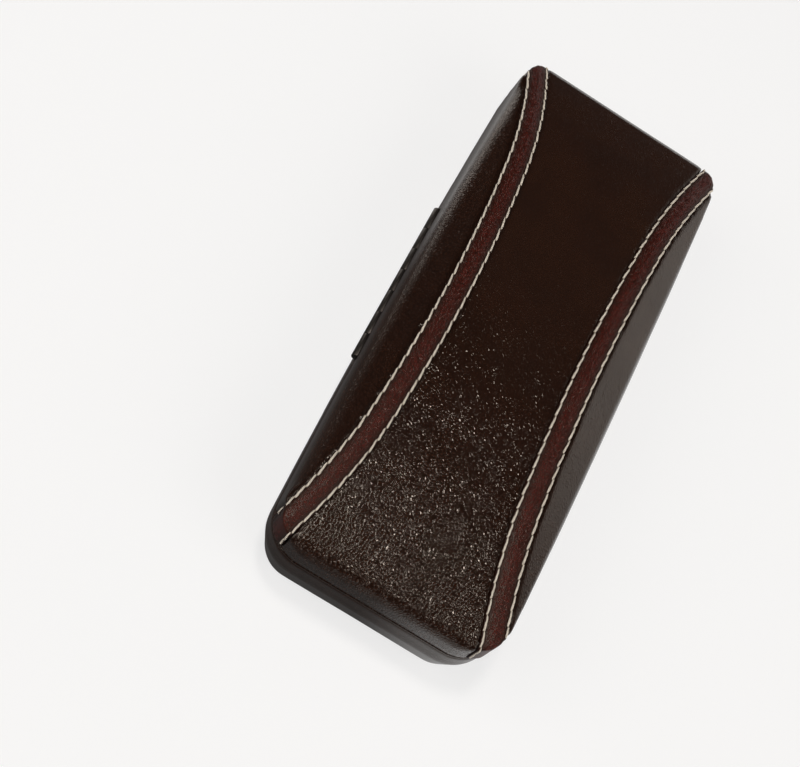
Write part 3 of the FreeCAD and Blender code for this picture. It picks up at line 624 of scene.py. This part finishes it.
def row_track(strip, side, into):
    """The line of a row on the strip's own leather, over both end bends and down the walls."""
    tree = BVHTree.FromObject(strip, bpy.context.evaluated_depsgraph_get())
    px, py, run = row_plan(side, into)
    half = len(px) // 2
    halves = []
    for way in (-1, 1):
        part = range(half, -1, -1) if way < 0 else range(half, len(px))
        guide = []
        for index in part:
            x, y = px[index], py[index]
            top = tree.ray_cast(Vector((x, y, 60.0)) * MM, Vector((0, 0, -1)))[0]
            if top is None or top.z / MM < 26.0:
                break
            guide.append(Vector((x, y, top.z / MM)))
        last = guide[-1].copy()
        while last.z > SEAM + 1.7:
            last = last - Vector((0, 0, 0.1))
            guide.append(last.copy())
        halves.append(guide)
    line = list(reversed(halves[0][1:])) + halves[1]
    found = []
    for place in line:
        near, normal, _, _ = tree.find_nearest(place * MM)
        found.append((near.x / MM, near.y / MM, near.z / MM, normal.x, normal.y, normal.z))
    found = np.array(found)
    wide = 13
    kernel = np.hanning(wide + 2)[1:-1]
    kernel /= kernel.sum()
    padded = np.pad(found, ((wide // 2, wide // 2), (0, 0)), mode="edge")
    found = np.stack([np.convolve(padded[:, column], kernel, mode="valid") for column in range(6)], axis=1)
    track, up = found[:, :3], found[:, 3:]
    up /= np.linalg.norm(up, axis=1)[:, None]
    length = np.concatenate([[0], np.cumsum(np.linalg.norm(np.diff(track, axis=0), axis=1))])
    length -= length[np.argmin(np.abs(track[:, 0]))]
    return length, track, up


class GLASSESCASE_OT_stitching(Operator):
    """Four rows of thread, one along each border of each strip"""

    bl_idname = "glasses_case.stitching"
    bl_label = "Stitching"

    def execute(self, context):
        sizes = context.scene.glasses_case_sizes
        pitch, width = sizes.pitch / MM, sizes.thread / MM
        shape, faces = thread_stitch(1.0)
        rng = np.random.default_rng(12)
        for side_name, side in (("front", -1), ("back", 1)):
            strip = bpy.data.objects[f"leather_{side_name}_strip"]
            for row_name, into in (("outer", ROW_OUTER), ("inner", ROW_INNER)):
                length, track, up = row_track(strip, side, into)
                many, all_faces, ply_shade = [], [], []
                first = math.ceil((length[0] + 1.2) / pitch)
                last = math.floor((length[-1] - 1.2) / pitch)
                for number in range(first, last + 1):
                    middle = number * pitch + rng.uniform(-0.1, 0.1)
                    span = 3.95 + rng.uniform(-0.08, 0.08)
                    slant = math.radians(4.5 + rng.uniform(-1.5, 1.5)) * side
                    thick = width * rng.uniform(0.93, 1.07)
                    place = middle + shape[:, 0] * span
                    centre = np.stack([np.interp(place, length, track[:, k]) for k in range(3)], axis=1)
                    rise = np.stack([np.interp(place, length, up[:, k]) for k in range(3)], axis=1)
                    rise /= np.linalg.norm(rise, axis=1)[:, None]
                    ahead = np.stack([np.interp(place + 0.05, length, track[:, k])
                                      - np.interp(place - 0.05, length, track[:, k])
                                      for k in range(3)], axis=1)
                    ahead /= np.maximum(np.linalg.norm(ahead, axis=1), 1e-6)[:, None]
                    across = np.cross(rise, ahead)
                    dive = 0.36 - 0.52 * np.abs(2 * shape[:, 0]) ** 4.0
                    swell = thick * (1.0 - 0.3 * shape[:, 0])
                    lean = shape[:, 0] * span * math.tan(slant)
                    many.append(centre + across * (shape[:, 1] * swell + lean)[:, None]
                                + rise * (shape[:, 2] * swell * 0.9 + dive * thick)[:, None])
                    offset = len(shape) * len(all_faces) // len(faces)
                    all_faces.extend(tuple(v + offset for v in face) for face in faces)
                    radius = np.hypot(shape[:, 1], shape[:, 2])
                    # Painted shade in the valleys between the plies.
                    ply_shade.append(1 - step(radius, 0.36, 0.46))
                mesh = bpy.data.meshes.new(f"stitches_{side_name}_{row_name}")
                mesh.from_pydata((np.concatenate(many) * MM).tolist(), [], all_faces)
                mesh.update()
                mark(mesh, "ply_shade", np.concatenate(ply_shade))
                piece = bpy.data.objects.new(f"thread_{side_name}_{row_name}", mesh)
                context.scene.collection.objects.link(piece)
                finish_piece(piece, thread_material(), "lid", "thread", f"stitches_{side_name}_{row_name}")
        return {"FINISHED"}


def thread_material():
    """Waxed thread: pale, with painted shade in lines between its plies, and fine fibres."""
    found = bpy.data.materials.get("waxed_thread")
    if found:
        return found
    colours = bpy.context.scene.glasses_case_colours
    material, tree, shader = new_material("waxed_thread")
    where = node(tree, "ShaderNodeTexCoord").outputs["Object"]
    ply_shade = node(tree, "ShaderNodeAttribute", attribute_name="ply_shade").outputs["Fac"]
    fibre = node(tree, "ShaderNodeTexNoise", {"Vector": where, "Scale": 5200.0, "Detail": 3.0}).outputs["Fac"]
    patch = node(tree, "ShaderNodeTexNoise", {"Vector": where, "Scale": 420.0, "Detail": 2.0}).outputs["Fac"]
    # Painted shade between the plies, with random fibre and patch tone.
    shade = maths(tree, "MULTIPLY", ply_shade, 1.0)
    shade = maths(tree, "MULTIPLY_ADD", fibre, 0.3, shade)
    shade = maths(tree, "MULTIPLY_ADD", patch, 0.35, maths(tree, "SUBTRACT", shade, 0.25))
    shade = node(tree, "ShaderNodeClamp", {"Value": shade}).outputs[0]
    tree.links.new(mix_colour(tree, shade, rgba(colours.thread), rgba(colours.thread_dark)),
                   shader.inputs["Base Color"])
    tree.links.new(maths(tree, "MULTIPLY_ADD", fibre, 0.15, 0.45), shader.inputs["Roughness"])
    bump = node(tree, "ShaderNodeBump", {"Height": fibre, "Distance": 0.00004, "Strength": 0.7})
    tree.links.new(bump.outputs["Normal"], shader.inputs["Normal"])
    return material


# Rims, base, lining and steel

class GLASSESCASE_OT_rim_folds(Operator):
    """Leather turned over the rims of the lid and the base"""

    bl_idname = "glasses_case.rim_folds"
    bl_label = "Rim Folds"

    def execute(self, context):
        for body in ("lid", "base"):
            piece = node_copy(f"{body}_rim_fold", f"leather_{body}_rim")
            soften(piece, 0.00034, 5)
            mark(piece.data, "seam_dirt_and_shade", np.zeros(len(piece.data.vertices)))
            mark(piece.data, "grain", np.ones(len(piece.data.vertices)))
            finish_piece(piece, main_leather(), body, "leather", f"{body}_rim_fold")
        return {"FINISHED"}


class GLASSESCASE_OT_base_cover(Operator):
    """Leather over the outside of the base"""

    bl_idname = "glasses_case.base_cover"
    bl_label = "Base Leather"

    def execute(self, context):
        piece = node_copy("base_cover", "leather_base")
        soften(piece, 0.00066, 5)
        mesh = piece.data
        places = points(mesh) / MM
        turned = normals(mesh)
        upper = step(places[:, 2], 1.0, 6.0)
        outward = step((turned[:, :2] * places[:, :2]).sum(axis=1), 5.0, 12.0)
        places += turned * (0.05 * waves(places, 24.0, 6) * upper * outward)[:, None]
        hinge = (1 - step(np.abs(places[:, 0]), 31, 33)) * step(places[:, 1], 26, 28)
        high = step(places[:, 2], 17.5, 20.7) * (1 - hinge)
        places[:, 2] += 0.72 * high
        places[:, :2] += turned[:, :2] * (0.10 * high)[:, None]
        move_points(mesh, places * MM)
        mark(mesh, "seam_dirt_and_shade", np.zeros(len(places)))
        mark(mesh, "grain", np.ones(len(places)))
        finish_piece(piece, main_leather(), "base", "leather", "base_cover")
        return {"FINISHED"}


def lining_material():
    """Flock over a moulded tray: short dense fibres with a soft sheen at the edges."""
    found = bpy.data.materials.get("flocked_lining")
    if found:
        return found
    colours = bpy.context.scene.glasses_case_colours
    material, tree, shader = new_material("flocked_lining")
    where = node(tree, "ShaderNodeTexCoord").outputs["Object"]
    tone = node(tree, "ShaderNodeGroup", node_tree=shared_group("Uneven Tone", tone_group))
    tree.links.new(where, tone.inputs["Vector"])
    tone.inputs["Light"].default_value = rgba(tuple(1.25 * c for c in colours.lining))
    tone.inputs["Dark"].default_value = rgba(tuple(0.8 * c for c in colours.lining))
    tone.inputs["Patch"].default_value = 70.0
    fibre = node(tree, "ShaderNodeTexNoise", {"Vector": where, "Scale": 4200.0, "Detail": 4.0}).outputs["Fac"]
    speck = node(tree, "ShaderNodeMapRange", {"Value": fibre, "From Min": 0.35, "From Max": 0.68}).outputs["Result"]
    tree.links.new(mix_colour(tree, maths(tree, "MULTIPLY", speck, 0.4), tone.outputs["Color"],
                              rgba(tuple(2.2 * c for c in colours.lining))), shader.inputs["Base Color"])
    tree.links.new(maths(tree, "MULTIPLY_ADD", fibre, 0.1, 0.86), shader.inputs["Roughness"])
    bump = node(tree, "ShaderNodeBump", {"Height": fibre, "Distance": 0.00012, "Strength": 0.8})
    tree.links.new(bump.outputs["Normal"], shader.inputs["Normal"])
    shader.inputs["Specular IOR Level"].default_value = 0.25
    shader.inputs["Sheen Weight"].default_value = 0.5
    shader.inputs["Sheen Roughness"].default_value = 0.45
    return material


class GLASSESCASE_OT_lining(Operator):
    """Flocked linings of the lid and the base"""

    bl_idname = "glasses_case.lining"
    bl_label = "Lining"

    def execute(self, context):
        for body in ("lid", "base"):
            piece = node_copy(f"{body}_liner", f"lining_{body}")
            finish_piece(piece, lining_material(), body, "lining", f"{body}_liner")
            only(piece)
            bpy.ops.object.shade_smooth_by_angle(angle=math.radians(40))
        return {"FINISHED"}


def steel_material(name, value, rough, grain):
    """Plated steel, brushed and a little handled."""
    found = bpy.data.materials.get(name)
    if found:
        return found
    material, tree, shader = new_material(name)
    where = node(tree, "ShaderNodeTexCoord").outputs["Object"]
    drawn = node(tree, "ShaderNodeMapping", {"Vector": where, "Scale": (0.06, 1.0, 1.0)}).outputs[0]
    brush = node(tree, "ShaderNodeTexNoise", {"Vector": drawn, "Scale": grain, "Detail": 4.0}).outputs["Fac"]
    tone = node(tree, "ShaderNodeGroup", node_tree=shared_group("Uneven Tone", tone_group))
    tree.links.new(where, tone.inputs["Vector"])
    tone.inputs["Light"].default_value = rgba(value)
    tone.inputs["Dark"].default_value = rgba(tuple(0.7 * c for c in value))
    tone.inputs["Patch"].default_value = 300.0
    tree.links.new(tone.outputs["Color"], shader.inputs["Base Color"])
    handled = maths(tree, "MULTIPLY_ADD", tone.outputs["Mask"], 0.12, rough)
    tree.links.new(maths(tree, "MULTIPLY_ADD", brush, 0.12, handled), shader.inputs["Roughness"])
    bump = node(tree, "ShaderNodeBump", {"Height": brush, "Distance": 0.00001, "Strength": 0.5})
    tree.links.new(bump.outputs["Normal"], shader.inputs["Normal"])
    shader.inputs["Metallic"].default_value = 1.0
    return material


def coat_node(node_name, material):
    """Gives a frame node its finish."""
    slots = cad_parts[node_name].material_slots
    if not slots:
        raise RuntimeError(f"{node_name} has no material slot")
    for slot in slots:
        slot.material = material


class GLASSESCASE_OT_shells(Operator):
    """Sheet steel shells between the leather and the lining"""

    bl_idname = "glasses_case.shells"
    bl_label = "Steel Shells"

    def execute(self, context):
        steel = steel_material("brushed_shell_steel", (0.48, 0.47, 0.46), 0.32, 1800.0)
        for node_name in ("lid_shell", "base_shell"):
            coat_node(node_name, steel)
        return {"FINISHED"}


class GLASSESCASE_OT_hinge(Operator):
    """Hinge leaves, pin, snap spring and rivets"""

    bl_idname = "glasses_case.hinge"
    bl_label = "Hinge"

    def execute(self, context):
        sizes = context.scene.glasses_case_sizes
        colours = context.scene.glasses_case_colours
        steel = steel_material("plated_hinge_steel", tuple(colours.metal), 0.3, 3000.0)
        kept = [("hinge_leaf_lid", "lid"), ("hinge_leaf_base", "base"), ("hinge_pin", "base"),
                ("snap_spring", "base")]
        kept += [(f"hinge_rivet_{body}_{number}", body) for body in ("lid", "base") for number in (1, 2, 3)]
        for node_name, body in kept:
            piece = node_copy(node_name, f"metal_{node_name}")
            only(piece)
            bpy.ops.object.mode_set(mode="EDIT")
            bpy.ops.mesh.select_all(action="SELECT")
            bpy.ops.mesh.dissolve_limited(angle_limit=math.radians(1.0))
            bpy.ops.object.mode_set(mode="OBJECT")
            apply(piece, "BEVEL", width=sizes.metal_edge, segments=2, limit_method="ANGLE",
                  angle_limit=math.radians(35), use_clamp_overlap=True)
            finish_piece(piece, steel, body, "hinge_steel", node_name)
            only(piece)
            bpy.ops.object.shade_smooth_by_angle(angle=math.radians(35))
        return {"FINISHED"}


# Floor, light and camera

LAMP_COLOUR = (1.0, 0.95, 0.90)

# Soft lamps: name, azimuth and elevation in degrees, distance, width and height in metres, radiance
LAMPS = (
    ("overhead_softbox", 105.0, 80.5, 1.0, 0.13, 0.13, 60.0),
    ("left_softbox", 118.0, 44.0, 1.1, 0.80, 0.80, 2.1),
    ("right_softbox", 242.0, 44.0, 1.1, 0.80, 0.80, 2.1),
    ("side_card", -45.0, 15.0, 1.2, 0.95, 0.50, 1.25),
    ("back_card", 35.0, 4.0, 1.2, 0.92, 0.17, 4.0),
)


def floor_glow(tree):
    """How bright the floor looks in the leather: painted shade beside the hinge and towards the near end, and a painted
    glow above white beyond.
    """
    where = node(tree, "ShaderNodeTexCoord").outputs["Object"]
    place = node(tree, "ShaderNodeSeparateXYZ", {"Vector": where}).outputs

    def fade(value, low, high):
        return node(tree, "ShaderNodeMapRange", {"Value": value, "From Min": low, "From Max": high},
                    interpolation_type="SMOOTHSTEP").outputs["Result"]

    beyond = maths(tree, "MULTIPLY_ADD", place["Y"], -0.87, place["X"])
    before = maths(tree, "MULTIPLY", fade(place["Y"], 0.0, -0.03), 0.66)
    lit = maths(tree, "MAXIMUM", fade(beyond, -0.028, 0.002), before)
    beside = maths(tree, "MULTIPLY", fade(place["Y"], 0.026, 0.032), fade(place["Y"], 0.058, 0.042))
    lit = maths(tree, "MULTIPLY", lit, maths(tree, "SUBTRACT", 1.0, beside))
    return maths(tree, "MULTIPLY_ADD", lit, 1.3, 0.15)


class GLASSESCASE_OT_stage(Operator):
    """Pale floor, soft light and the camera"""

    bl_idname = "glasses_case.stage"
    bl_label = "Stage"

    def execute(self, context):
        colours = context.scene.glasses_case_colours
        bpy.ops.object.select_all(action="DESELECT")
        bpy.ops.mesh.primitive_plane_add(size=8, location=(0, 0, -0.0001))
        floor = context.object
        floor.name = "floor"
        bpy.ops.object.transform_apply(location=True, rotation=True, scale=True)
        material, tree, shader = new_material("floor")
        shader.inputs["Base Color"].default_value = rgba(colours.floor)
        shader.inputs["Roughness"].default_value = 0.9
        shader.inputs["Specular IOR Level"].default_value = 0.1
        paths = node(tree, "ShaderNodeLightPath").outputs
        seen = maths(tree, "MAXIMUM", paths["Is Camera Ray"], paths["Is Transmission Ray"])
        where = node(tree, "ShaderNodeTexCoord").outputs["Object"]
        away = node(tree, "ShaderNodeVectorMath", {0: where}, operation="LENGTH").outputs["Value"]
        fading = node(tree, "ShaderNodeMapRange",
                      {"Value": away, "From Min": 0.25, "From Max": 1.3, "To Min": 0.72, "To Max": 1.0},
                      interpolation_type="SMOOTHSTEP").outputs["Result"]
        seen = maths(tree, "MAXIMUM", maths(tree, "MULTIPLY", seen, fading),
                     maths(tree, "MULTIPLY", paths["Is Glossy Ray"], 0.95))
        # The floor's reflection in the leather is painted: shade beside the hinge and towards the near end, a glow
        # above white beyond.
        mirrored = maths(tree, "SUBTRACT", floor_glow(tree), 1.0)
        level = maths(tree, "MULTIPLY_ADD", paths["Is Glossy Ray"], mirrored, 1.0)
        white = node(tree, "ShaderNodeEmission", {"Color": (1, 1, 1, 1), "Strength": level})
        both = tree.nodes.new("ShaderNodeMixShader")
        tree.links.new(seen, both.inputs[0])
        tree.links.new(shader.outputs[0], both.inputs[1])
        tree.links.new(white.outputs[0], both.inputs[2])
        output = next(item for item in tree.nodes if item.type == "OUTPUT_MATERIAL")
        tree.links.new(both.outputs[0], output.inputs["Surface"])
        floor.data.materials.append(material)

        world = bpy.data.worlds.new("studio")
        context.scene.world = world
        world.use_nodes = True
        tree = world.node_tree
        tree.nodes.clear()
        way = node(tree, "ShaderNodeTexCoord").outputs["Generated"]
        height = node(tree, "ShaderNodeSeparateXYZ", {"Vector": way}).outputs["Z"]
        ramp = node(tree, "ShaderNodeValToRGB", {"Fac": height})
        stops = ramp.color_ramp.elements
        for stop, (place, level) in zip(stops, ((0.0, 0.16), (0.28, 0.12))):
            stop.position = place
            stop.color = (level, level, level, 1.0)
        for place, level in ((0.45, 0.03), (0.95, 0.03)):
            stops.new(place).color = (level, level, level, 1.0)
        soft = node(tree, "ShaderNodeBackground", {"Color": ramp.outputs["Color"], "Strength": 1.0})
        white = node(tree, "ShaderNodeBackground", {"Color": (1, 1, 1, 1), "Strength": 1.0})
        eye = node(tree, "ShaderNodeLightPath").outputs["Is Camera Ray"]
        both = tree.nodes.new("ShaderNodeMixShader")
        tree.links.new(eye, both.inputs[0])
        tree.links.new(soft.outputs[0], both.inputs[1])
        tree.links.new(white.outputs[0], both.inputs[2])
        output = tree.nodes.new("ShaderNodeOutputWorld")
        tree.links.new(both.outputs[0], output.inputs["Surface"])

        for name, azimuth, elevation, distance, wide, tall, radiance in LAMPS:
            bpy.ops.object.light_add(type="AREA")
            lamp = context.object
            lamp.name = name
            lamp.data.shape = "RECTANGLE"
            lamp.data.size = wide
            lamp.data.size_y = tall
            lamp.data.energy = radiance * math.pi * wide * tall
            lamp.data.color = LAMP_COLOUR
            around, up = math.radians(azimuth), math.radians(elevation)
            way = Vector((math.cos(around) * math.cos(up), math.sin(around) * math.cos(up), math.sin(up)))
            lamp.location = way * distance
            lamp.rotation_euler = way.to_track_quat("Z", "Y").to_euler()

        bpy.ops.object.camera_add(location=(-0.23026, 0.06335, 0.39416),
                                  rotation=(0.395497, -0.337776, -1.111768))
        camera = context.object
        camera.name = "camera"
        camera.data.sensor_width = 36.0
        camera.data.lens = 77.508
        camera.data.clip_start = 0.01
        context.scene.camera = camera
        context.scene.view_settings.view_transform = "Standard"
        return {"FINISHED"}


class GLASSESCASE_PT_panel(Panel):
    """Lists the pieces, their sizes and their colours"""

    bl_idname = "GLASSESCASE_PT_panel"
    bl_label = "Glasses Case"
    bl_space_type = "VIEW_3D"
    bl_region_type = "UI"
    bl_category = "Glasses Case"

    def draw(self, context):
        layout = self.layout
        for group in (context.scene.glasses_case_sizes, context.scene.glasses_case_colours):
            box = layout.box()
            for name in group.bl_rna.properties.keys():
                if name not in {"rna_type", "name"}:
                    box.prop(group, name)
        for operator in STEPS:
            layout.operator(operator.bl_idname)


STEPS = (GLASSESCASE_OT_lid_panels, GLASSESCASE_OT_strips, GLASSESCASE_OT_stitching,
         GLASSESCASE_OT_rim_folds, GLASSESCASE_OT_base_cover, GLASSESCASE_OT_lining,
         GLASSESCASE_OT_shells, GLASSESCASE_OT_hinge, GLASSESCASE_OT_stage)
CLASSES = (GlassesCaseSizes, GlassesCaseColours, *STEPS, GLASSESCASE_PT_panel)


def register():
    for cls in CLASSES:
        bpy.utils.register_class(cls)
    bpy.types.Scene.glasses_case_sizes = PointerProperty(type=GlassesCaseSizes)
    bpy.types.Scene.glasses_case_colours = PointerProperty(type=GlassesCaseColours)


def unregister():
    del bpy.types.Scene.glasses_case_colours
    del bpy.types.Scene.glasses_case_sizes
    for cls in reversed(CLASSES):
        bpy.utils.unregister_class(cls)


def main():
    register()
    bpy.ops.glasses_case.lid_panels()
    bpy.ops.glasses_case.strips()
    bpy.ops.glasses_case.stitching()
    bpy.ops.glasses_case.rim_folds()
    bpy.ops.glasses_case.base_cover()
    bpy.ops.glasses_case.lining()
    bpy.ops.glasses_case.shells()
    bpy.ops.glasses_case.hinge()
    bpy.ops.glasses_case.stage()


if __name__ == "__main__":
    main()
